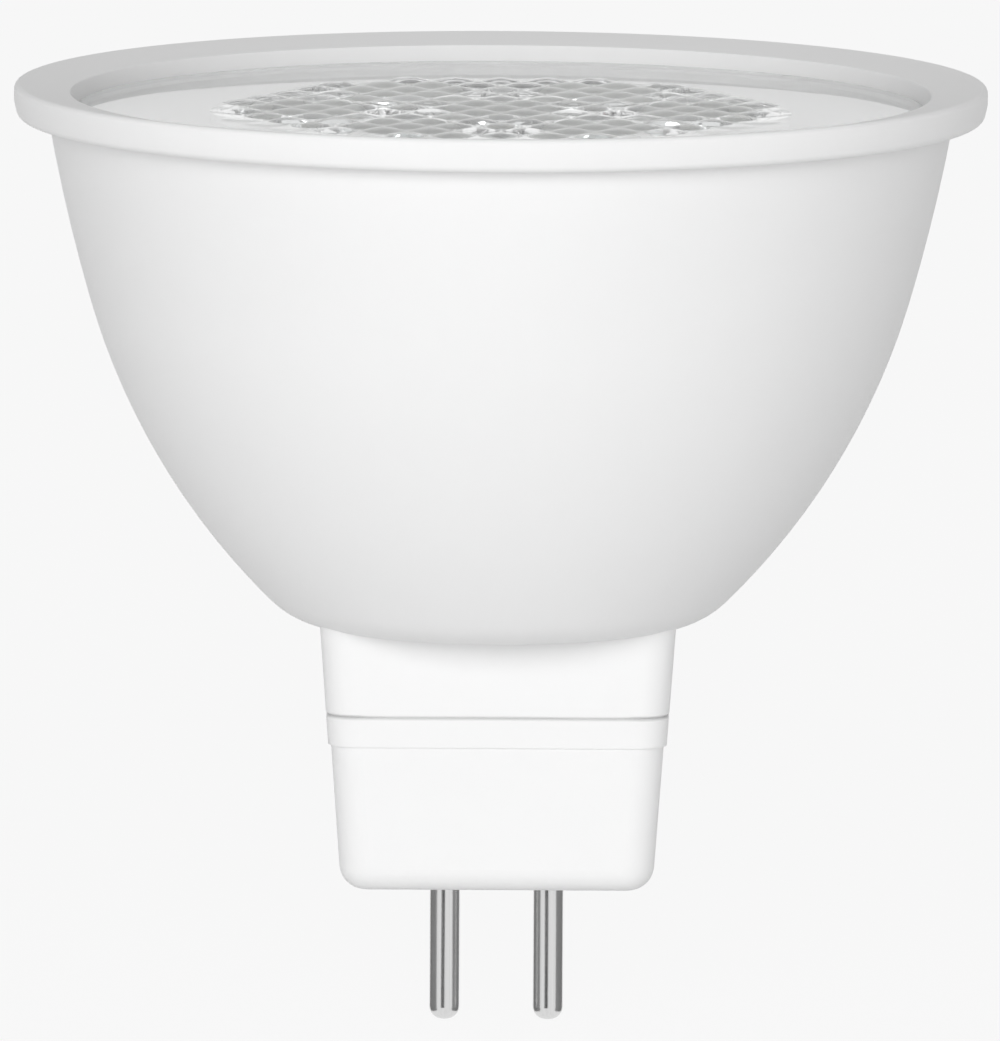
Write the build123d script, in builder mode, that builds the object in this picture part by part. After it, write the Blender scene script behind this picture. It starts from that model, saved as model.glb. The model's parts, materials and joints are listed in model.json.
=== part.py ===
from build123d import *

import os
from math import ceil, cos, hypot, radians, sin, sqrt, tan

# LED spotlight bulb with a two-pin base, in millimetres.
# +Z points up along the optical axis with the lens on top, and X runs along the line of the two pins.
# The origin lies midway between the pins, on the flat face that they leave.

# Contact pins
pin_pitch = 5.33
pin_diameter = 1.55
pin_length = 7.25
pin_tip_round = 0.65
pin_seat_diameter = 2.0
pin_shoulder_diameter = 2.5
pin_shoulder_height = 0.6
pin_tail_diameter = 1.1
pin_tail_length = 4.5
pin_fit = 0.02

# Foot and neck: one tapering block with rounded corners, parted between the base cap and the housing
foot_width = 16.3
foot_depth = 10.6
foot_draft = 4.1
foot_corner_radius = 1.6
foot_edge_radius = 1.3
foot_height = 9.15
foot_floor = 2.0
collar_height = 1.55
collar_step = 0.15
parting_bevel = 0.15
neck_height = 4.22
neck_wall = 1.3
socket_corner_radius = 0.8
plug_height = 2.5
plug_wall = 1.2
plug_clearance = 0.1
latch_width = 4.0
latch_height = 1.2
latch_reach = 0.35
latch_lift = 0.8

# Bowl: its outline is three tangent arcs from the mouth down to the flat bottom
mouth_draft = 10.1
waist_angle = 16.3
heel_angle = 45.5
upper_arc_radius = 88.8
lower_arc_radius = 35.8
heel_radius = 4.4
heel_inner_radius = 0.4
bowl_wall = 2.3
shelf_wall = 1.2

# Front rim: its top face dips towards the lens
rim_diameter = 50.0
rim_overhang = 1.76
rim_height = 1.8
rim_side_taper = 0.2
rim_side_land = 0.9
rim_face_width = 2.9
rim_dip = 0.5
rim_lower_round = 0.3
rim_upper_round = 0.3
rim_lip_round = 0.15

# Lens: a flat plate with a ring of collimator cells round a middle one, and small beads in front of them
lens_recess = 0.8
lens_thickness = 2.0
lens_clearance = 0.1
lens_ledge = 1.0
lens_seat_gap = 0.03
lip_taper = 0.2
cell_ring_count = 6
cell_pitch = 10.0
cell_spacing = 0.1
cell_height = 5.4
cell_bulge = 0.35
cell_foot_wall = 0.6
cell_foot_gap = 0.25
well_clearance = 0.25
well_depth = 2.8
well_taper = 0.2
well_dome = 0.5
bead_pitch = 2.4
bead_spacing = 0.14
bead_height = 0.18

# Lights, and the stack that carries them
led_size = 3.0
led_height = 0.65
led_window_diameter = 2.4
led_window_depth = 0.1
light_board_thickness = 1.2
light_board_margin = 0.6
pad_thickness = 0.3
pad_margin = 1.4
sink_plate = 1.5
sink_skirt = 1.0
sink_skirt_height = 10.2
sink_clearance = 0.1
screw_edge_distance = 4.6
screw_diameter = 2.0
screw_head_diameter = 3.6
screw_head_height = 1.3
screw_head_round = 0.4
screw_recess_length = 1.9
screw_recess_width = 0.5
screw_recess_depth = 0.6
screw_end = 0.5
screw_hole_clearance = 0.1
screw_thread_fit = 0.02

# Wires from the driver to the light board
wire_diameter = 1.1
wire_spacing = 3.0
wire_joint_drop = 1.6
wire_stub_length = 2.5
wire_stub_bend = 6.0
wire_rise_bend = 3.2
wire_end_length = 3.2
wire_slot_clearance = 0.55
wire_slot_edge_distance = 4.8
wire_headroom = 3.7
wire_contact = 0.02

# Driver board and what is soldered to it, with sizes given along X, Y and Z
driver_board_width = 13.4
driver_board_height = 24.0
driver_board_thickness = 1.0
board_slot_clearance = 0.1
component_gap = 0.8
rectifier_size = (4.7, 2.5, 3.9)
diode_size = (4.3, 2.2, 2.6)
inductor_side = 5.0
inductor_corner_radius = 0.8
inductor_base = 0.8
inductor_drum_diameter = 4.6
inductor_height = 4.4
input_capacitor_size = (3.2, 1.4, 2.5)
resistor_size = (3.2, 0.6, 1.6)
resistor_spacing = 4.4
chip_size = (4.9, 1.4, 3.9)
chip_leg_count = 4
chip_leg_pitch = 1.27
chip_leg_width = 0.4
chip_leg_reach = 1.0
chip_leg_thickness = 0.3
can_diameter = 6.3
can_length = 8.0
can_edge_round = 0.4
can_lead_diameter = 0.5
can_lead_spacing = 2.5
can_lead_reach = 1.2
can_lead_bend_radius = 0.6

os.makedirs("parts", exist_ok=True)

# Heights of the stack, from the foot up
bowl_bottom_z = foot_height + neck_height
mouth_z = (
    bowl_bottom_z
    + upper_arc_radius * (sin(radians(waist_angle)) - sin(radians(mouth_draft)))
    + lower_arc_radius * (sin(radians(heel_angle)) - sin(radians(waist_angle)))
    + heel_radius * (1 - sin(radians(heel_angle)))
)
rim_top_z = mouth_z + rim_height
lip_z = rim_top_z - rim_dip
lens_top_z = lip_z - lens_recess
ledge_z = lens_top_z - lens_thickness
cell_foot_z = ledge_z - cell_height
light_board_top_z = cell_foot_z - cell_foot_gap
light_board_z = light_board_top_z - light_board_thickness
pad_z = light_board_z - pad_thickness
shelf_z = pad_z - sink_plate

# Radii of the rim and of the two long arcs of the bowl's outline
rim_radius = rim_diameter / 2
mouth_radius = rim_radius - rim_overhang
rim_inner_radius = rim_radius - rim_face_width
pocket_radius = rim_inner_radius - lip_taper
lens_radius = pocket_radius - lens_clearance
arc_radius_change = upper_arc_radius - lower_arc_radius
upper_centre_r = mouth_radius - upper_arc_radius * cos(radians(mouth_draft))
upper_centre_z = mouth_z + upper_arc_radius * sin(radians(mouth_draft))
lower_centre_r = upper_centre_r + arc_radius_change * cos(radians(waist_angle))
lower_centre_z = upper_centre_z - arc_radius_change * sin(radians(waist_angle))


def bowl_radius(height, inset):
    """Radius of the bowl's outline at one height, drawn in by an inset."""
    upper = upper_arc_radius - inset
    lower = lower_arc_radius - inset
    if height > upper_centre_z - upper * sin(radians(waist_angle)):
        return upper_centre_r + sqrt(upper**2 - (height - upper_centre_z) ** 2)
    return lower_centre_r + sqrt(lower**2 - (height - lower_centre_z) ** 2)


def bowl_form(inset):
    """The bowl as a solid of revolution, drawn in all round by an inset."""
    start_r = mouth_radius - inset * cos(radians(mouth_draft))
    start_z = mouth_z + inset * sin(radians(mouth_draft))
    start = (start_r, start_z)
    heading = (-sin(radians(mouth_draft)), -cos(radians(mouth_draft)))
    heel = max(heel_radius - inset, heel_inner_radius)
    with BuildPart() as form:
        with BuildSketch(Plane.XZ):
            with BuildLine():
                upper = JernArc(start, heading, upper_arc_radius - inset, mouth_draft - waist_angle)
                lower = JernArc(upper @ 1, upper % 1, lower_arc_radius - inset, waist_angle - heel_angle)
                corner = JernArc(lower @ 1, lower % 1, heel, heel_angle - 90)
                Polyline(corner @ 1, (0, (corner @ 1).Y), (0, start_z), start)
            make_face()
        revolve(axis=Axis.Z)
    return form.part


def tapered_block(low, high, inset):
    """A stretch of the tapering foot and neck between two heights, drawn in by an inset."""
    with BuildPart() as block:
        for height in (low, high):
            spread = 2 * (height * tan(radians(foot_draft)) - inset)
            with BuildSketch(Plane.XY.offset(height)):
                RectangleRounded(foot_width + spread, foot_depth + spread, foot_corner_radius)
        loft(ruled=True)
    return block.part


# Room for the driver inside the lower bowl
with BuildPart() as driver_room:
    add(bowl_form(bowl_wall))
    split(bisect_by=Plane.XY.offset(shelf_z), keep=Keep.BOTTOM)

# Housing: one moulding of bowl, rim and neck, with a socket in the neck and recesses for the plug's latches
neck_spread = 2 * foot_height * tan(radians(foot_draft))
socket_width = foot_width + neck_spread - 2 * neck_wall
socket_depth = foot_depth + neck_spread - 2 * neck_wall
chamber_radius = bowl_radius(shelf_z, shelf_wall)
latch_z = foot_height + latch_lift

with BuildPart() as housing:
    add(bowl_form(0))
    with BuildSketch(Plane.XZ) as rim_section:
        with BuildLine():
            Polyline(
                (0, mouth_z),
                (rim_radius - rim_side_taper, mouth_z),
                (rim_radius, rim_top_z - rim_side_land),
                (rim_radius, rim_top_z),
                (rim_inner_radius, lip_z),
                (0, lip_z),
                close=True,
            )
        make_face()
        fillet(rim_section.vertices().sort_by_distance((rim_radius, rim_top_z))[0], rim_upper_round)
        fillet(rim_section.vertices().sort_by_distance((rim_radius, mouth_z))[0], rim_lower_round)
    revolve(axis=Axis.Z)
    add(tapered_block(foot_height, bowl_bottom_z + bowl_wall / 2, 0))
    with BuildSketch(Plane.XZ):
        with BuildLine():
            Polyline(
                (0, shelf_z),
                (chamber_radius, shelf_z),
                (pocket_radius - lens_ledge, ledge_z - lens_seat_gap),
                (pocket_radius, ledge_z - lens_seat_gap),
                (pocket_radius, lens_top_z),
                (rim_inner_radius, lip_z),
                (0, lip_z),
                close=True,
            )
        make_face()
    revolve(axis=Axis.Z, mode=Mode.SUBTRACT)
    add(driver_room.part, mode=Mode.SUBTRACT)
    with BuildSketch(Plane.XY.offset(foot_height)):
        RectangleRounded(socket_width, socket_depth, socket_corner_radius)
    extrude(amount=neck_height + 2 * bowl_wall, mode=Mode.SUBTRACT)
    with BuildSketch(Plane.XY.offset(latch_z - plug_clearance)):
        Rectangle(latch_width + 2 * plug_clearance, socket_depth + 2 * latch_reach)
    extrude(amount=latch_height + 2 * plug_clearance, mode=Mode.SUBTRACT)
    lip_edges = housing.edges().filter_by(GeomType.CIRCLE).sort_by_distance((rim_inner_radius, 0, lip_z))
    fillet(lip_edges[0], rim_lip_round)
    parting_face = housing.faces().sort_by(Axis.Z)[0]
    chamfer(parting_face.outer_wire().edges(), parting_bevel)
housing.part.label = "housing"
export_step(housing.part, "parts/housing.step")

# Base cap: foot block with a collar, a plug with two latches that fits the neck, and a floor for the pins
plug_width = socket_width - 2 * plug_clearance
plug_depth = socket_depth - 2 * plug_clearance
pocket_width = plug_width - 2 * plug_wall
pocket_depth = plug_depth - 2 * plug_wall
collar_z = foot_height - collar_height
plug_top_z = foot_height + plug_height
shoulder_z = foot_floor - pin_shoulder_height
driver_front_y = pin_tail_diameter / 2
driver_back_y = driver_front_y + driver_board_thickness
driver_middle_y = (driver_front_y + driver_back_y) / 2
pin_places = [(-pin_pitch / 2, 0), (pin_pitch / 2, 0)]

with BuildPart() as base_cap:
    add(tapered_block(collar_z, foot_height, 0))
    chamfer(base_cap.faces().sort_by(Axis.Z)[-1].edges(), parting_bevel)
    add(tapered_block(0, collar_z, collar_step))
    fillet(base_cap.faces().sort_by(Axis.Z)[0].edges(), foot_edge_radius)
    with BuildSketch(Plane.XY.offset(foot_height)):
        RectangleRounded(plug_width, plug_depth, socket_corner_radius - plug_clearance)
    extrude(amount=plug_height)
    with BuildSketch(Plane.YZ.offset(-latch_width / 2)):
        with BuildLine():
            Polyline(
                (plug_depth / 2, latch_z),
                (plug_depth / 2 + latch_reach, latch_z),
                (plug_depth / 2, latch_z + latch_height),
                close=True,
            )
        make_face()
        mirror(about=Plane.YZ)
    extrude(amount=latch_width)
    with BuildSketch(Plane.XY.offset(foot_floor)):
        RectangleRounded(pocket_width, pocket_depth, socket_corner_radius)
        with Locations((0, driver_middle_y)):
            Rectangle(
                driver_board_width + 2 * board_slot_clearance,
                driver_board_thickness + 2 * board_slot_clearance,
            )
    extrude(amount=plug_top_z - foot_floor, mode=Mode.SUBTRACT)
    with BuildSketch():
        with Locations(*pin_places):
            Circle(pin_seat_diameter / 2 + pin_fit)
    extrude(amount=foot_floor, mode=Mode.SUBTRACT)
    with BuildSketch(Plane.XY.offset(shoulder_z)):
        with Locations(*pin_places):
            Circle(pin_shoulder_diameter / 2 + pin_fit)
    extrude(amount=pin_shoulder_height, mode=Mode.SUBTRACT)
base_cap.part.label = "base_cap"
export_step(base_cap.part, "parts/base_cap.step")

# Contact pins: round tip, free shank, seat and shoulder in the floor, and a tail on the driver board
for name, place in zip(("pin_left", "pin_right"), pin_places):
    with BuildPart() as pin:
        with BuildSketch(Plane.XY.offset(-pin_length)):
            with Locations(place):
                Circle(pin_diameter / 2)
        extrude(amount=pin_length)
        fillet(pin.faces().sort_by(Axis.Z)[0].edges(), pin_tip_round)
        with BuildSketch():
            with Locations(place):
                Circle(pin_seat_diameter / 2)
        extrude(amount=shoulder_z)
        with BuildSketch(Plane.XY.offset(shoulder_z)):
            with Locations(place):
                Circle(pin_shoulder_diameter / 2)
        extrude(amount=pin_shoulder_height)
        with BuildSketch(Plane.XY.offset(foot_floor)):
            with Locations(place):
                Circle(pin_tail_diameter / 2)
        extrude(amount=pin_tail_length)
    pin.part.label = name
    export_step(pin.part, f"parts/{name}.step")

# Lens: plate, collimator cells hanging below it with a well for each light, and rows of low beads over them
well_radius = led_size * sqrt(2) / 2 + well_clearance
well_top_radius = well_radius - well_taper
well_top_z = cell_foot_z + well_depth
cell_foot_radius = well_radius + cell_foot_wall
cell_top_radius = (cell_pitch - cell_spacing) / 2
cell_step = radians(360 / cell_ring_count)
ring_angles = [number * cell_step for number in range(cell_ring_count)]
ring_places = [(cell_pitch * cos(angle), cell_pitch * sin(angle)) for angle in ring_angles]
cell_top = (cell_top_radius, ledge_z)
cell_foot = (cell_foot_radius, cell_foot_z)
well_top = (well_top_radius, well_top_z)
well_peak = (0, well_top_z - well_dome)
bead_radius = (bead_pitch - bead_spacing) / 2
bead_reach = cell_pitch + cell_top_radius - bead_radius
bead_row_step = bead_pitch * sqrt(3) / 2
bead_row_count = ceil(bead_reach / bead_row_step)
bead_rows = range(-bead_row_count, bead_row_count + 1)
bead_grid = [(bead_pitch * (step + row / 2), bead_row_step * row) for row in bead_rows for step in bead_rows]
bead_places = [place for place in bead_grid if hypot(*place) < bead_reach]
bead_peak = (0, lens_top_z + bead_height)
bead_edge = (bead_radius, lens_top_z)

with BuildPart() as cell:
    with BuildSketch(Plane.XZ):
        with BuildLine():
            Polyline(well_peak, (0, ledge_z), cell_top)
            SagittaArc(cell_top, cell_foot, cell_bulge)
            Polyline(cell_foot, (well_radius, cell_foot_z), well_top)
            TangentArc(well_peak, well_top, tangent=(1, 0))
        make_face()
    revolve(axis=Axis.Z)

with BuildPart() as bead:
    with BuildSketch(Plane.XZ):
        with BuildLine():
            Polyline(bead_peak, (0, lens_top_z), bead_edge)
            TangentArc(bead_peak, bead_edge, tangent=(1, 0))
        make_face()
    revolve(axis=Axis.Z)

with BuildPart() as lens:
    with BuildSketch(Plane.XY.offset(ledge_z)):
        Circle(lens_radius)
    extrude(amount=lens_thickness)
    with Locations((0, 0), *ring_places):
        add(cell.part)
    with Locations(*bead_places):
        add(bead.part)
lens.part.label = "lens"
export_step(lens.part, "parts/lens.step")

# Lights: square packages on the light board, one under each cell, with a shallow round window
led_places = {"led_centre": (0, 0)}
for number, place in enumerate(ring_places, 1):
    led_places[f"led_ring_{number}"] = place
for name, place in led_places.items():
    with BuildPart() as led:
        with BuildSketch(Plane.XY.offset(light_board_top_z)):
            with Locations(place):
                Rectangle(led_size, led_size)
        extrude(amount=led_height)
        with BuildSketch(Plane.XY.offset(light_board_top_z + led_height)):
            with Locations(place):
                Circle(led_window_diameter / 2)
        extrude(amount=-led_window_depth, mode=Mode.SUBTRACT)
    led.part.label = name
    export_step(led.part, f"parts/{name}.step")

# Light board, thermal pad and heat sink: one stack on the housing's shelf, with holes in line through it
plate_radius = chamber_radius - sink_clearance
screw_circle_radius = plate_radius - screw_edge_distance
screw_bearing = cell_step / 2
screw_x = screw_circle_radius * cos(screw_bearing)
screw_y = screw_circle_radius * sin(screw_bearing)
screw_places = [(screw_x, screw_y), (-screw_x, screw_y)]
screw_hole_radius = screw_diameter / 2 + screw_hole_clearance
slot_height = wire_diameter + 2 * wire_slot_clearance
wire_slot_y = wire_slot_edge_distance - plate_radius
slot_place = (0, wire_slot_y)

with BuildPart() as light_board:
    with BuildSketch(Plane.XY.offset(light_board_z)):
        Circle(plate_radius - light_board_margin)
        with Locations(*screw_places):
            Circle(screw_hole_radius, mode=Mode.SUBTRACT)
        with Locations(slot_place):
            SlotCenterToCenter(wire_spacing, slot_height, mode=Mode.SUBTRACT)
    extrude(amount=light_board_thickness)
light_board.part.label = "light_board"
export_step(light_board.part, "parts/light_board.step")

with BuildPart() as thermal_pad:
    with BuildSketch(Plane.XY.offset(pad_z)):
        Circle(plate_radius - pad_margin)
        with Locations(*screw_places):
            Circle(screw_hole_radius, mode=Mode.SUBTRACT)
        with Locations(slot_place):
            SlotCenterToCenter(wire_spacing, slot_height, mode=Mode.SUBTRACT)
    extrude(amount=pad_thickness)
thermal_pad.part.label = "thermal_pad"
export_step(thermal_pad.part, "parts/thermal_pad.step")

skirt_inset = bowl_wall + sink_clearance
with BuildPart() as heat_sink:
    add(bowl_form(skirt_inset))
    add(bowl_form(skirt_inset + sink_skirt), mode=Mode.SUBTRACT)
    split(bisect_by=Plane.XY.offset(shelf_z), keep=Keep.BOTTOM)
    split(bisect_by=Plane.XY.offset(shelf_z - sink_skirt_height), keep=Keep.TOP)
    with BuildSketch(Plane.XY.offset(shelf_z)):
        Circle(plate_radius)
        with Locations(*screw_places):
            Circle(screw_diameter / 2 + screw_thread_fit, mode=Mode.SUBTRACT)
        with Locations(slot_place):
            SlotCenterToCenter(wire_spacing, slot_height, mode=Mode.SUBTRACT)
    extrude(amount=sink_plate)
heat_sink.part.label = "heat_sink"
export_step(heat_sink.part, "parts/heat_sink.step")

# Board screws: round heads with a cross recess
with BuildPart() as board_screws:
    with BuildSketch(Plane.XY.offset(light_board_top_z)):
        with Locations(*screw_places):
            Circle(screw_head_diameter / 2)
    extrude(amount=screw_head_height)
    fillet(board_screws.edges().group_by(Axis.Z)[-1], screw_head_round)
    with BuildSketch(Plane.XY.offset(light_board_top_z + screw_head_height)):
        with Locations(*screw_places):
            Rectangle(screw_recess_length, screw_recess_width)
            Rectangle(screw_recess_width, screw_recess_length)
    extrude(amount=-screw_recess_depth, mode=Mode.SUBTRACT)
    with BuildSketch(Plane.XY.offset(light_board_top_z)):
        with Locations(*screw_places):
            Circle(screw_diameter / 2)
    extrude(amount=-(light_board_top_z - shelf_z + screw_end))
board_screws.part.label = "board_screws"
export_step(board_screws.part, "parts/board_screws.step")

# Driver board: stands on the cap's floor in its two slots, with the pin tails against its front face
driver_top_z = foot_floor + driver_board_height
with BuildPart() as driver_board:
    with BuildSketch(Plane.XY.offset(foot_floor)):
        with Locations((0, driver_middle_y)):
            Rectangle(driver_board_width, driver_board_thickness)
    extrude(amount=driver_board_height)
driver_board.part.label = "driver_board"
export_step(driver_board.part, "parts/driver_board.step")

# Front of the driver board, from the wire joints down: inductor, diode and rectifier
wire_joint_z = driver_top_z - wire_joint_drop
inductor_z = wire_joint_z - wire_diameter / 2 - component_gap - inductor_side
diode_z = inductor_z - component_gap - diode_size[2]
rectifier_z = diode_z - component_gap - rectifier_size[2]
inductor_middle_z = inductor_z + inductor_side / 2
front_align = (Align.CENTER, Align.MAX, Align.MIN)

with BuildPart() as bridge_rectifier:
    with Locations((0, driver_front_y, rectifier_z)):
        Box(*rectifier_size, align=front_align)
bridge_rectifier.part.label = "bridge_rectifier"
export_step(bridge_rectifier.part, "parts/bridge_rectifier.step")

with BuildPart() as freewheel_diode:
    with Locations((0, driver_front_y, diode_z)):
        Box(*diode_size, align=front_align)
freewheel_diode.part.label = "freewheel_diode"
export_step(freewheel_diode.part, "parts/freewheel_diode.step")

with BuildPart() as power_inductor:
    with BuildSketch(Plane.XZ.offset(-driver_front_y)):
        with Locations((0, inductor_middle_z)):
            RectangleRounded(inductor_side, inductor_side, inductor_corner_radius)
    extrude(amount=inductor_base)
    with BuildSketch(Plane.XZ.offset(inductor_base - driver_front_y)):
        with Locations((0, inductor_middle_z)):
            Circle(inductor_drum_diameter / 2)
    extrude(amount=inductor_height - inductor_base)
power_inductor.part.label = "power_inductor"
export_step(power_inductor.part, "parts/power_inductor.step")

# Back of the driver board, from the top down: can capacitor, chip, two sense resistors, input capacitor
can_z = driver_top_z - component_gap - can_diameter / 2
chip_z = can_z - can_diameter / 2 - component_gap - chip_leg_reach - chip_size[2]
resistor_z = chip_z - chip_leg_reach - component_gap - resistor_size[2]
input_capacitor_z = resistor_z - component_gap - input_capacitor_size[2]
can_y = driver_back_y + can_diameter / 2
back_align = (Align.CENTER, Align.MIN, Align.MIN)

with BuildPart() as input_capacitor:
    with Locations((0, driver_back_y, input_capacitor_z)):
        Box(*input_capacitor_size, align=back_align)
input_capacitor.part.label = "input_capacitor"
export_step(input_capacitor.part, "parts/input_capacitor.step")

for name, side in (("sense_resistor_1", -1), ("sense_resistor_2", 1)):
    with BuildPart() as resistor:
        with Locations((side * resistor_spacing / 2, driver_back_y, resistor_z)):
            Box(*resistor_size, align=back_align)
    resistor.part.label = name
    export_step(resistor.part, f"parts/{name}.step")

with BuildPart() as driver_chip:
    with Locations((0, driver_back_y, chip_z)):
        Box(*chip_size, align=back_align)
    with Locations((0, driver_back_y, chip_z - chip_leg_reach)):
        with GridLocations(chip_leg_pitch, 0, chip_leg_count, 1):
            Box(chip_leg_width, chip_leg_thickness, chip_size[2] + 2 * chip_leg_reach, align=back_align)
driver_chip.part.label = "driver_chip"
export_step(driver_chip.part, "parts/driver_chip.step")

with BuildPart() as smoothing_capacitor:
    with BuildSketch(Plane.YZ.offset(-can_length / 2)):
        with Locations((can_y, can_z)):
            Circle(can_diameter / 2)
    extrude(amount=can_length)
    fillet(smoothing_capacitor.edges().filter_by(GeomType.CIRCLE), can_edge_round)
    for side in (-1, 1):
        lead_z = can_z + side * can_lead_spacing / 2
        lead_x = can_length / 2 + can_lead_reach
        with BuildLine() as lead_path:
            FilletPolyline(
                (can_length / 2, can_y, lead_z),
                (lead_x, can_y, lead_z),
                (lead_x, driver_back_y, lead_z),
                radius=can_lead_bend_radius,
            )
        with BuildSketch(Plane.YZ.offset(can_length / 2)):
            with Locations((can_y, lead_z)):
                Circle(can_lead_diameter / 2)
        sweep(path=lead_path.line)
smoothing_capacitor.part.label = "smoothing_capacitor"
export_step(smoothing_capacitor.part, "parts/smoothing_capacitor.step")

# Wires: off the driver's front face, under the heat sink to the slot, up through it and over its outer side
# onto the light board
wire_rise_z = shelf_z - wire_headroom
wire_end_z = light_board_top_z + wire_diameter / 2 + wire_contact
wire_end_bend = slot_height / 2
for name, side in (("wire_positive", 1), ("wire_negative", -1)):
    wire_x = side * wire_spacing / 2
    with BuildPart() as wire:
        with BuildLine() as wire_path:
            FilletPolyline(
                (wire_x, driver_front_y, wire_joint_z),
                (wire_x, driver_front_y - wire_stub_length, wire_joint_z),
                (wire_x, wire_slot_y, wire_rise_z),
                (wire_x, wire_slot_y, wire_end_z),
                (wire_x, wire_slot_y - wire_end_length, wire_end_z),
                radius=(wire_stub_bend, wire_rise_bend, wire_end_bend),
            )
        with BuildSketch(Plane.XZ.offset(-driver_front_y)):
            with Locations((wire_x, wire_joint_z)):
                Circle(wire_diameter / 2)
        sweep(path=wire_path.line)
    wire.part.label = name
    export_step(wire.part, f"parts/{name}.step")
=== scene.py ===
import json
from math import atan2, cos, hypot, pi, radians, sin

import bmesh
import bpy
from mathutils import Euler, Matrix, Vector


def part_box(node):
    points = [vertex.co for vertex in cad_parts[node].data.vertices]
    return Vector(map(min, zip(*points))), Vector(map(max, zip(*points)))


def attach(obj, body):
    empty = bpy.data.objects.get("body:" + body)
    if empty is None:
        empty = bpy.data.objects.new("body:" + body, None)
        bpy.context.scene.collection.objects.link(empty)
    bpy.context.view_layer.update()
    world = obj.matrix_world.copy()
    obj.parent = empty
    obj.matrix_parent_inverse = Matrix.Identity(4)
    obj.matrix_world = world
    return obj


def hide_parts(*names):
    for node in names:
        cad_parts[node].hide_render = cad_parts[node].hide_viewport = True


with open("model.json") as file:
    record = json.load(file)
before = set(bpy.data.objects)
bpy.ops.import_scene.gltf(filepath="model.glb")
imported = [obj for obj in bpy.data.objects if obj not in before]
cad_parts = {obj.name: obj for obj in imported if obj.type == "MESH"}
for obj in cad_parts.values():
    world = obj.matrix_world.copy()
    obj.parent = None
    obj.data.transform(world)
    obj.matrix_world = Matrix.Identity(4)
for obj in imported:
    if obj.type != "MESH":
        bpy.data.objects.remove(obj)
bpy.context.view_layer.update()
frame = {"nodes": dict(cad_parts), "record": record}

# LED spotlight bulb: a white moulded bowl with a clear collimator lens, a rectangular neck and two pins.
# Metres throughout, in the model's own frame: +Z towards the lens, X along the line of the two pins.

scene = bpy.context.scene
nodes = frame["nodes"]

# Outer edge of the housing's rim: the model's own section, with its lower round made a little softer
rim_edge_width = 0.00046
rim_top_round = 0.0003
rim_lower_round = 0.00045
rim_top_slope = radians(9.8)
rim_side_taper = radians(12.5)
rim_side_land_bottom = 0.04037
rim_round_rows = 8
crease_angle = radians(30)
weld_distance = 1e-7
underside_margin = 1e-6

# White plastic, and the painted shade that greys it along the joint under the neck
housing_white = (0.91, 0.91, 0.91)
painted_joint_shade = (0.6, 0.6, 0.6)
painted_joint_shade_width = 0.00016

# Height of the grain on every surface, and the spread of slow changes of tone in a moulding
grain_depth = 0.00002
tone_patch_scale = 90.0

# Phosphor window of an LED package, its radius and soft edge as shares of the package's width
led_window_radius = 0.38
led_window_edge = 0.03
phosphor_yellow = (0.9, 0.74, 0.26, 1.0)
package_white = (0.88, 0.88, 0.86, 1.0)

# Studio and camera
camera_distance = 1.5
camera_elevation = radians(7.31)
camera_roll = radians(0.31)
camera_lens_mm = 1049.8
camera_sensor_mm = 36.0
camera_clip_start = 0.01
camera_clip_end = 20.0
aim_point = Vector((0.00007, 0.0, 0.01863))
floor_size = 6.0
floor_white = (0.94, 0.94, 0.94, 1.0)
backdrop_white = (0.957, 0.957, 0.957, 1.0)
floor_glow_share = 0.94
horizon_strength = 0.64
zenith_strength = 0.36
lamp_distance = 1.25
key_size = (1.6, 0.6)
key_power = 8.9
key_azimuth = radians(-6)
key_elevation = radians(16)
sparkle_size = (0.3, 0.3)
sparkle_power = 1.0
sparkle_azimuth = radians(160)
sparkle_elevation = radians(30)
lens_light_bounces = 32

# Dark cards at about floor level and below it, at both sides and behind the camera's left
side_flag_distance = 1.0
side_flag_ends = (-0.53, 1.33)
side_flag_heights = (-0.6, 0.0)
side_flag_tone = 0.35
camera_flag_distance = 1.8
camera_flag_ends = (-0.85, 0.0)
camera_flag_heights = (-0.5, -0.05)
camera_flag_tone = 0.02

# What each surface group puts out
surface_outputs = [
    ("Color", "NodeSocketColor"),
    ("Roughness", "NodeSocketFloat"),
    ("Height", "NodeSocketFloat"),
]


def new_group(name, inputs, outputs):
    """A shader node group with named sockets, and its input and output nodes."""
    group = bpy.data.node_groups.new(name, "ShaderNodeTree")
    for label, kind, value in inputs:
        socket = group.interface.new_socket(label, in_out="INPUT", socket_type=kind)
        socket.default_value = value
    for label, kind in outputs:
        group.interface.new_socket(label, in_out="OUTPUT", socket_type=kind)
    return group, group.nodes.new("NodeGroupInput"), group.nodes.new("NodeGroupOutput")


def sway_tone_and_gloss(group, entry, result, change):
    """Let a texture, which runs from 0 to 1, sway a group's colour and gloss about their given values."""
    make, link = group.nodes.new, group.links.new
    shift = make("ShaderNodeMath")
    shift.operation = "SUBTRACT"
    shift.inputs[1].default_value = 0.5
    link(change, shift.inputs[0])
    tone = make("ShaderNodeMath")
    tone.operation = "MULTIPLY_ADD"
    tone.inputs[2].default_value = 1.0
    link(shift.outputs[0], tone.inputs[0])
    link(entry.outputs["Tone"], tone.inputs[1])
    tint = make("ShaderNodeVectorMath")
    tint.operation = "SCALE"
    link(entry.outputs["Color"], tint.inputs[0])
    link(tone.outputs[0], tint.inputs["Scale"])
    gloss = make("ShaderNodeMath")
    gloss.operation = "MULTIPLY_ADD"
    link(shift.outputs[0], gloss.inputs[0])
    link(entry.outputs["Gloss Change"], gloss.inputs[1])
    link(entry.outputs["Gloss"], gloss.inputs[2])
    link(tint.outputs[0], result.inputs["Color"])
    link(gloss.outputs[0], result.inputs["Roughness"])


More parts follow.
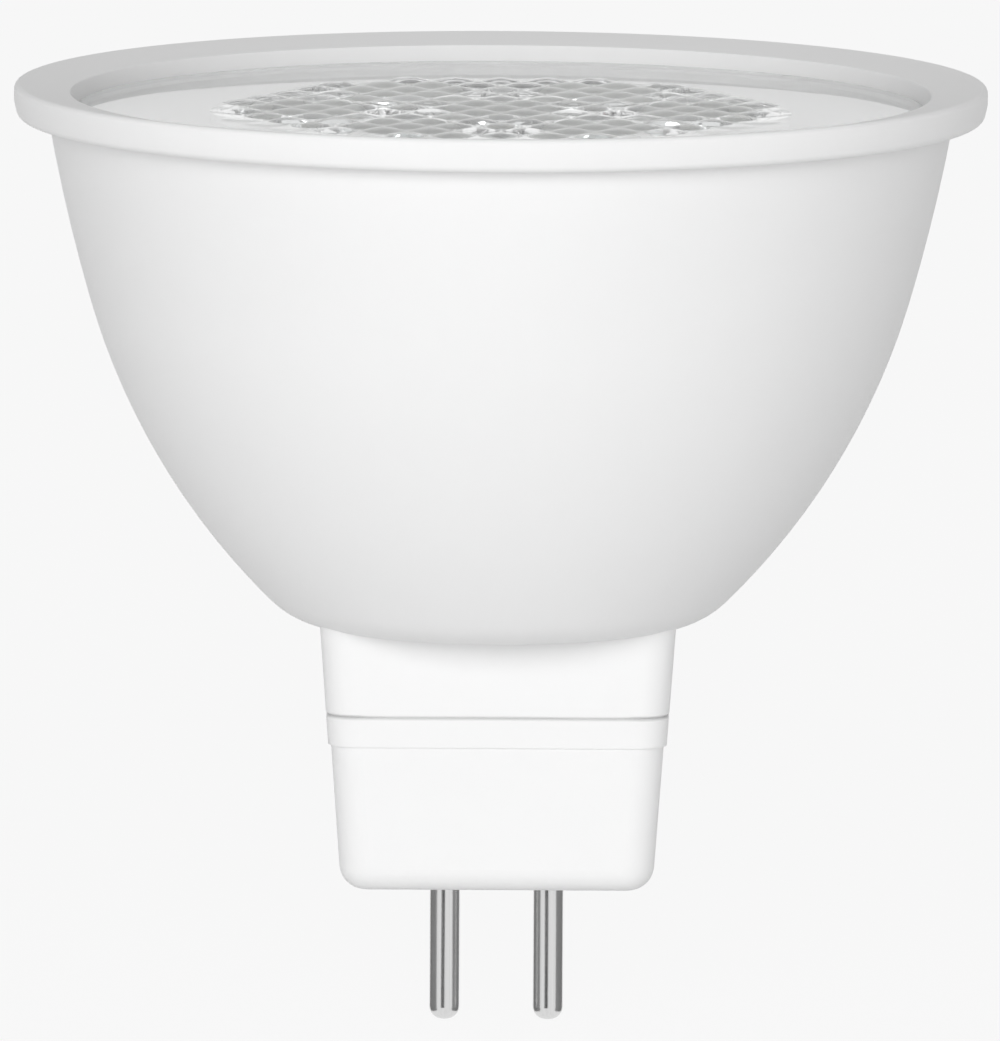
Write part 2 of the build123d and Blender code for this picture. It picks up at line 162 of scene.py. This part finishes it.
def moulded_grain_group():
    """Fine grain of a moulded or painted surface: a slight change of tone, gloss and height."""
    group, entry, result = new_group(
        "moulded_grain",
        [
            ("Color", "NodeSocketColor", (0.8, 0.8, 0.8, 1)),
            ("Grain Scale", "NodeSocketFloat", 3000.0),
            ("Tone", "NodeSocketFloat", 0.02),
            ("Gloss", "NodeSocketFloat", 0.4),
            ("Gloss Change", "NodeSocketFloat", 0.05),
        ],
        surface_outputs,
    )
    make, link = group.nodes.new, group.links.new
    place = make("ShaderNodeTexCoord")
    fine = make("ShaderNodeTexNoise")
    fine.inputs["Detail"].default_value = 3.0
    broad = make("ShaderNodeTexNoise")
    broad.inputs["Scale"].default_value = tone_patch_scale
    link(place.outputs["Object"], fine.inputs["Vector"])
    link(place.outputs["Object"], broad.inputs["Vector"])
    link(entry.outputs["Grain Scale"], fine.inputs["Scale"])
    link(fine.outputs["Fac"], result.inputs["Height"])
    sway_tone_and_gloss(group, entry, result, broad.outputs["Fac"])
    return group


def drawn_marks_group():
    """Lengthways marks of drawn or turned metal, stretched along one axis."""
    group, entry, result = new_group(
        "drawn_marks",
        [
            ("Color", "NodeSocketColor", (0.7, 0.7, 0.7, 1)),
            ("Stretch", "NodeSocketVector", (6000.0, 6000.0, 200.0)),
            ("Tone", "NodeSocketFloat", 0.2),
            ("Gloss", "NodeSocketFloat", 0.25),
            ("Gloss Change", "NodeSocketFloat", 0.15),
        ],
        surface_outputs,
    )
    make, link = group.nodes.new, group.links.new
    place = make("ShaderNodeTexCoord")
    stretch = make("ShaderNodeVectorMath")
    stretch.operation = "MULTIPLY"
    marks = make("ShaderNodeTexNoise")
    marks.inputs["Scale"].default_value = 1.0
    marks.inputs["Detail"].default_value = 4.0
    link(place.outputs["Object"], stretch.inputs[0])
    link(entry.outputs["Stretch"], stretch.inputs[1])
    link(stretch.outputs[0], marks.inputs["Vector"])
    link(marks.outputs["Fac"], result.inputs["Height"])
    sway_tone_and_gloss(group, entry, result, marks.outputs["Fac"])
    return group


moulded_grain = moulded_grain_group()
drawn_marks = drawn_marks_group()


def new_material(name):
    """An empty material with a Principled shader on its output."""
    material = bpy.data.materials.new(name)
    material.use_nodes = True
    tree = material.node_tree
    tree.nodes.clear()
    shader = tree.nodes.new("ShaderNodeBsdfPrincipled")
    output = tree.nodes.new("ShaderNodeOutputMaterial")
    tree.links.new(shader.outputs["BSDF"], output.inputs["Surface"])
    return material, tree, shader


def dress(tree, shader, group, bump, values):
    """Place a surface group in a material and lead it to the shader."""
    effect = tree.nodes.new("ShaderNodeGroup")
    effect.node_tree = group
    for label, value in values.items():
        effect.inputs[label].default_value = value
    height = tree.nodes.new("ShaderNodeBump")
    height.inputs["Strength"].default_value = bump
    height.inputs["Distance"].default_value = grain_depth
    tree.links.new(effect.outputs["Color"], shader.inputs["Base Color"])
    tree.links.new(effect.outputs["Roughness"], shader.inputs["Roughness"])
    tree.links.new(effect.outputs["Height"], height.inputs["Height"])
    tree.links.new(height.outputs["Normal"], shader.inputs["Normal"])
    return effect


def moulded(name, color, gloss, grain=3000.0, tone=0.02, bump=0.15, sheen=0.5):
    """A moulded plastic, mask or coating, with its share of mirror-like sheen."""
    material, tree, shader = new_material(name)
    shader.inputs["Specular IOR Level"].default_value = sheen
    dress(
        tree,
        shader,
        moulded_grain,
        bump,
        {"Color": (*color, 1), "Grain Scale": grain, "Tone": tone, "Gloss": gloss, "Gloss Change": 0.06},
    )
    return material


def white_plastic(joint_height):
    """Satin white plastic, with painted shade along the joint between the housing's neck and the base cap.
    """
    material = moulded("white_plastic", housing_white, 0.7, sheen=0.25)
    tree = material.node_tree
    make, link = tree.nodes.new, tree.links.new
    effect = next(node for node in tree.nodes if node.type == "GROUP")
    place = make("ShaderNodeTexCoord")
    axes = make("ShaderNodeSeparateXYZ")
    offset = make("ShaderNodeMath")
    offset.operation = "SUBTRACT"
    offset.inputs[1].default_value = joint_height
    away = make("ShaderNodeMath")
    away.operation = "ABSOLUTE"
    fade = make("ShaderNodeMapRange")
    fade.interpolation_type = "SMOOTHSTEP"
    fade.inputs["From Min"].default_value = 0.0
    fade.inputs["From Max"].default_value = painted_joint_shade_width
    # Painted shade: grey in a thin band about the joint's height, fading to white away from it
    mix = make("ShaderNodeMix")
    mix.data_type = "RGBA"
    mix.inputs["A"].default_value = (*painted_joint_shade, 1)
    mix.inputs["B"].default_value = (*housing_white, 1)
    link(place.outputs["Object"], axes.inputs[0])
    link(axes.outputs["Z"], offset.inputs[0])
    link(offset.outputs[0], away.inputs[0])
    link(away.outputs[0], fade.inputs["Value"])
    link(fade.outputs["Result"], mix.inputs["Factor"])
    link(mix.outputs["Result"], effect.inputs["Color"])
    return material


def metal(name, color, gloss, stretch, tone=0.2, bump=0.1):
    """A bare or plated metal with lengthways marks."""
    material, tree, shader = new_material(name)
    shader.inputs["Metallic"].default_value = 1.0
    dress(
        tree,
        shader,
        drawn_marks,
        bump,
        {"Color": (*color, 1), "Stretch": stretch, "Tone": tone, "Gloss": gloss, "Gloss Change": 0.12},
    )
    return material


def led_package():
    """A white LED package with a round window of yellow phosphor."""
    material, tree, shader = new_material("led_package")
    effect = dress(
        tree,
        shader,
        moulded_grain,
        0.1,
        {"Grain Scale": 6000.0, "Tone": 0.03, "Gloss": 0.35, "Gloss Change": 0.06},
    )
    place = tree.nodes.new("ShaderNodeTexCoord")
    flat = tree.nodes.new("ShaderNodeVectorMath")
    flat.operation = "MULTIPLY_ADD"
    flat.inputs[1].default_value = (1.0, 1.0, 0.0)
    flat.inputs[2].default_value = (-0.5, -0.5, 0.0)
    reach = tree.nodes.new("ShaderNodeVectorMath")
    reach.operation = "LENGTH"
    window = tree.nodes.new("ShaderNodeMapRange")
    window.inputs["From Min"].default_value = led_window_radius
    window.inputs["From Max"].default_value = led_window_radius + led_window_edge
    mix = tree.nodes.new("ShaderNodeMix")
    mix.data_type = "RGBA"
    mix.inputs["A"].default_value = phosphor_yellow
    mix.inputs["B"].default_value = package_white
    tree.links.new(place.outputs["Generated"], flat.inputs[0])
    tree.links.new(flat.outputs[0], reach.inputs[0])
    tree.links.new(reach.outputs["Value"], window.inputs["Value"])
    tree.links.new(window.outputs["Result"], mix.inputs["Factor"])
    tree.links.new(mix.outputs["Result"], effect.inputs["Color"])
    return material


def clear_lens():
    """Clear polished plastic that lets light through to the board below it."""
    material, tree, shader = new_material("clear_lens")
    shader.inputs["Base Color"].default_value = (0.88, 0.89, 0.89, 1)
    shader.inputs["Roughness"].default_value = 0.03
    shader.inputs["IOR"].default_value = 1.49
    shader.inputs["Transmission Weight"].default_value = 1.0
    return material


finishes = {
    "white_plastic": white_plastic(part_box("housing")[0].z),
    "clear_plastic": clear_lens(),
    "plated_pin": metal("plated_pin", (0.72, 0.72, 0.72), 0.2, (9000.0, 9000.0, 150.0)),
    "bare_aluminium": metal("bare_aluminium", (0.72, 0.73, 0.74), 0.35, (1500.0, 1500.0, 1500.0)),
    "white_board": moulded("white_board", (0.86, 0.86, 0.84), 0.35),
    "grey_pad": moulded("grey_pad", (0.55, 0.57, 0.6), 0.7),
    "led_package": led_package(),
    "screw_steel": metal("screw_steel", (0.6, 0.6, 0.6), 0.3, (4000.0, 4000.0, 400.0)),
    "green_board": moulded("green_board", (0.05, 0.3, 0.13), 0.3),
    "black_package": moulded("black_package", (0.03, 0.03, 0.035), 0.5),
    "ferrite": moulded("ferrite", (0.12, 0.12, 0.13), 0.6),
    "tan_ceramic": moulded("tan_ceramic", (0.6, 0.46, 0.3), 0.5),
    "can_aluminium": metal("can_aluminium", (0.76, 0.77, 0.78), 0.3, (200.0, 4000.0, 4000.0)),
    "red_insulation": moulded("red_insulation", (0.55, 0.03, 0.03), 0.45),
    "black_insulation": moulded("black_insulation", (0.03, 0.03, 0.03), 0.45),
}

for subpart in frame["record"]["subparts"]:
    nodes[subpart["node"]].data.materials[0] = finishes[subpart["material_slot"]]


def arc_points(centre, radius, start, end):
    """Even points along an arc of the rim's section after its start, as radius and height."""
    turns = [start + (end - start) * row / rim_round_rows for row in range(1, rim_round_rows + 1)]
    return [(centre[0] + radius * cos(turn), centre[1] + radius * sin(turn)) for turn in turns]


def rim_section(rim_radius, top_ring, underside):
    """The rim's outer edge from its top face down to its underside, as radius and height."""
    top_centre = (rim_radius - rim_top_round, top_ring[0].co.z - rim_top_round * cos(rim_top_slope))
    lower_height = underside + rim_lower_round
    taper_run = (rim_side_land_bottom - lower_height) * sin(rim_side_taper)
    lower_centre = (rim_radius - (taper_run + rim_lower_round) / cos(rim_side_taper), lower_height)
    points = arc_points(top_centre, rim_top_round, pi / 2 + rim_top_slope, 0.0)
    points.append((rim_radius, rim_side_land_bottom))
    points.append((
        lower_centre[0] + rim_lower_round * cos(rim_side_taper),
        lower_centre[1] - rim_lower_round * sin(rim_side_taper),
    ))
    return points + arc_points(lower_centre, rim_lower_round, -rim_side_taper, -pi / 2)


def open_ring(shell, above):
    """The open edges of a shell above or below the rim's side land, and their points in order round it."""
    edges = [
        edge for edge in shell.edges
        if edge.is_boundary and (edge.verts[0].co.z > rim_side_land_bottom) == above
    ]
    points = {point for edge in edges for point in edge.verts}
    return edges, sorted(points, key=lambda point: atan2(point.co.y, point.co.x))


def on_rim_edge(place, inner_limit, underside):
    """Whether a point lies on the rim's outer edge or on the flat underside within it."""
    return hypot(place.x, place.y) > inner_limit or abs(place.z - underside) < underside_margin


def turn_rim_edge(shell, rim_radius):
    """Cut the rim's outer edge off the shell and turn it afresh in even rows."""
    inner_limit = rim_radius - rim_edge_width
    underside = min(point.co.z for point in shell.verts if hypot(point.co.x, point.co.y) > inner_limit)
    old_edge = [
        face for face in shell.faces
        if all(on_rim_edge(point.co, inner_limit, underside) for point in face.verts)
    ]
    bmesh.ops.delete(shell, geom=old_edge, context="FACES")
    _, row = open_ring(shell, above=True)
    lower_edges, _ = open_ring(shell, above=False)
    bearings = [atan2(point.co.y, point.co.x) for point in row]
    count = len(row)
    for radius, height in rim_section(rim_radius, row, underside):
        below = [shell.verts.new((radius * cos(turn), radius * sin(turn), height)) for turn in bearings]
        for here in range(count):
            after = (here + 1) % count
            shell.faces.new((row[here], below[here], below[after], row[after]))
        row = below
    last_edges = [shell.edges.get((row[here], row[(here + 1) % count])) for here in range(count)]
    bmesh.ops.bridge_loops(shell, edges=last_edges + lower_edges)


def bowl_housing():
    """The housing, welded and shaded smoothly, with an evenly turned rim."""
    shell = bmesh.new()
    shell.from_mesh(nodes["housing"].data)
    bmesh.ops.remove_doubles(shell, verts=shell.verts, dist=weld_distance)
    turn_rim_edge(shell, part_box("housing")[1].x)
    bmesh.ops.recalc_face_normals(shell, faces=shell.faces)
    mesh = bpy.data.meshes.new("bowl_housing")
    shell.to_mesh(mesh)
    shell.free()
    mesh.attributes.remove(mesh.attributes["custom_normal"])
    mesh.shade_smooth()
    mesh.set_sharp_from_angle(angle=crease_angle)
    mesh.materials.clear()
    mesh.materials.append(finishes["white_plastic"])
    housing = bpy.data.objects.new("bowl_housing", mesh)
    scene.collection.objects.link(housing)
    flat_faces = housing.modifiers.new("flat_faces", "WEIGHTED_NORMAL")
    flat_faces.keep_sharp = True
    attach(housing, "root")
    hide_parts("housing")


bowl_housing()


def lead_backdrop(tree, lit, glow, share):
    """Show the backdrop's white to the camera and in gloss and glass, and the lit surface elsewhere."""
    path = tree.nodes.new("ShaderNodeLightPath")
    seen = tree.nodes.new("ShaderNodeMath")
    seen.operation = "MAXIMUM"
    tree.links.new(path.outputs["Is Glossy Ray"], seen.inputs[0])
    tree.links.new(path.outputs["Is Transmission Ray"], seen.inputs[1])
    part = tree.nodes.new("ShaderNodeMath")
    part.operation = "MULTIPLY_ADD"
    part.use_clamp = True
    part.inputs[1].default_value = share
    tree.links.new(path.outputs["Is Camera Ray"], part.inputs[0])
    tree.links.new(seen.outputs[0], part.inputs[2])
    mix = tree.nodes.new("ShaderNodeMixShader")
    tree.links.new(part.outputs[0], mix.inputs["Fac"])
    tree.links.new(lit, mix.inputs[1])
    tree.links.new(glow, mix.inputs[2])
    output = next(node for node in tree.nodes if node.type.startswith("OUTPUT"))
    tree.links.new(mix.outputs[0], output.inputs["Surface"])
    return mix, output


def studio_floor(height):
    """A pale floor under the pins that reads as the backdrop, keeps the shadow and is clear from below."""
    half = floor_size / 2
    mesh = bpy.data.meshes.new("studio_floor")
    corners = [(-half, -half, height), (half, -half, height), (half, half, height), (-half, half, height)]
    mesh.from_pydata(corners, [], [(0, 1, 2, 3)])
    floor = bpy.data.objects.new("studio_floor", mesh)
    scene.collection.objects.link(floor)
    material, tree, shader = new_material("pale_floor")
    shader.inputs["Base Color"].default_value = floor_white
    shader.inputs["Roughness"].default_value = 0.9
    glow = tree.nodes.new("ShaderNodeEmission")
    glow.inputs["Color"].default_value = backdrop_white
    top, output = lead_backdrop(tree, shader.outputs["BSDF"], glow.outputs["Emission"], floor_glow_share)
    facing = tree.nodes.new("ShaderNodeNewGeometry")
    clear = tree.nodes.new("ShaderNodeBsdfTransparent")
    one_way = tree.nodes.new("ShaderNodeMixShader")
    tree.links.new(facing.outputs["Backfacing"], one_way.inputs["Fac"])
    tree.links.new(top.outputs[0], one_way.inputs[1])
    tree.links.new(clear.outputs[0], one_way.inputs[2])
    tree.links.new(one_way.outputs[0], output.inputs["Surface"])
    mesh.materials.append(material)
    floor.visible_glossy = False


def studio_world():
    """Soft light from all round that fades overhead, behind the white that camera, gloss and glass see."""
    world = bpy.data.worlds.new("studio_world")
    scene.world = world
    world.use_nodes = True
    tree = world.node_tree
    tree.nodes.clear()
    tree.nodes.new("ShaderNodeOutputWorld")
    soft = tree.nodes.new("ShaderNodeBackground")
    soft.inputs["Color"].default_value = (1, 1, 1, 1)
    place = tree.nodes.new("ShaderNodeTexCoord")
    axes = tree.nodes.new("ShaderNodeSeparateXYZ")
    fade = tree.nodes.new("ShaderNodeMapRange")
    fade.inputs["To Min"].default_value = horizon_strength
    fade.inputs["To Max"].default_value = zenith_strength
    tree.links.new(place.outputs["Generated"], axes.inputs[0])
    tree.links.new(axes.outputs["Z"], fade.inputs["Value"])
    tree.links.new(fade.outputs["Result"], soft.inputs["Strength"])
    white = tree.nodes.new("ShaderNodeBackground")
    white.inputs["Color"].default_value = backdrop_white
    lead_backdrop(tree, soft.outputs["Background"], white.outputs["Background"], 1.0)


def dark_flag(name, start, end, heights, tone):
    """A dark card that only gloss sees, put up to draw the edges of the pins."""
    low, high = heights
    corners = [(*start, low), (*end, low), (*end, high), (*start, high)]
    mesh = bpy.data.meshes.new(name)
    mesh.from_pydata(corners, [], [(0, 1, 2, 3)])
    flag = bpy.data.objects.new(name, mesh)
    scene.collection.objects.link(flag)
    material, tree, shader = new_material(name)
    shader.inputs["Base Color"].default_value = (tone, tone, tone, 1)
    shader.inputs["Roughness"].default_value = 1.0
    shader.inputs["Specular IOR Level"].default_value = 0.0
    mesh.materials.append(material)
    flag.visible_camera = False
    flag.visible_diffuse = False
    flag.visible_transmission = False
    flag.visible_shadow = False


def soft_lamp(name, azimuth, elevation, size, power):
    """A soft lamp, so wide and so high, aimed at the bulb, its azimuth turned from the camera's side."""
    level = cos(elevation)
    way = Vector((sin(azimuth) * level, -cos(azimuth) * level, sin(elevation)))
    light = bpy.data.lights.new(name, "AREA")
    light.shape = "ELLIPSE"
    light.size, light.size_y = size
    light.energy = power
    lamp = bpy.data.objects.new(name, light)
    scene.collection.objects.link(lamp)
    lamp.location = aim_point + lamp_distance * way
    lamp.rotation_euler = way.to_track_quat("Z", "Y").to_euler()
    return lamp


def photo_camera():
    """The camera at the photograph's angle, far off with a long lens."""
    camera = bpy.data.cameras.new("photo_camera")
    camera.lens = camera_lens_mm
    camera.sensor_width = camera_sensor_mm
    camera.sensor_fit = "HORIZONTAL"
    camera.clip_start = camera_clip_start
    camera.clip_end = camera_clip_end
    viewer = bpy.data.objects.new("photo_camera", camera)
    scene.collection.objects.link(viewer)
    back = Vector((0.0, -cos(camera_elevation), sin(camera_elevation)))
    viewer.location = aim_point + camera_distance * back
    tilt = Euler((radians(90) - camera_elevation, 0.0, 0.0)).to_matrix()
    roll = Euler((0.0, 0.0, camera_roll)).to_matrix()
    viewer.rotation_euler = (tilt @ roll).to_euler()
    scene.camera = viewer


studio_floor(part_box("pin_left")[0].z)
studio_world()

# The key lights the white plastic and stays out of the lens, where it would show as a white bar
key = soft_lamp("key_softbox", key_azimuth, key_elevation, key_size, key_power)
key.visible_glossy = False
key.visible_transmission = False

# The small lamp behind the bulb only puts sparkles in the lens and on the metal
sparkle = soft_lamp("sparkle_lamp", sparkle_azimuth, sparkle_elevation, sparkle_size, sparkle_power)
sparkle.visible_diffuse = False

for side in (-1, 1):
    dark_flag(
        f"side_flag_{side}",
        (side * side_flag_distance, side_flag_ends[0]),
        (side * side_flag_distance, side_flag_ends[1]),
        side_flag_heights,
        side_flag_tone,
    )
dark_flag(
    "camera_flag",
    (camera_flag_ends[0], -camera_flag_distance),
    (camera_flag_ends[1], -camera_flag_distance),
    camera_flag_heights,
    camera_flag_tone,
)
photo_camera()
scene.view_settings.view_transform = "Standard"

# Light turns many times inside the lens's cells, which look dark if its path is cut short
scene.cycles.max_bounces = lens_light_bounces
scene.cycles.glossy_bounces = lens_light_bounces
scene.cycles.transmission_bounces = lens_light_bounces
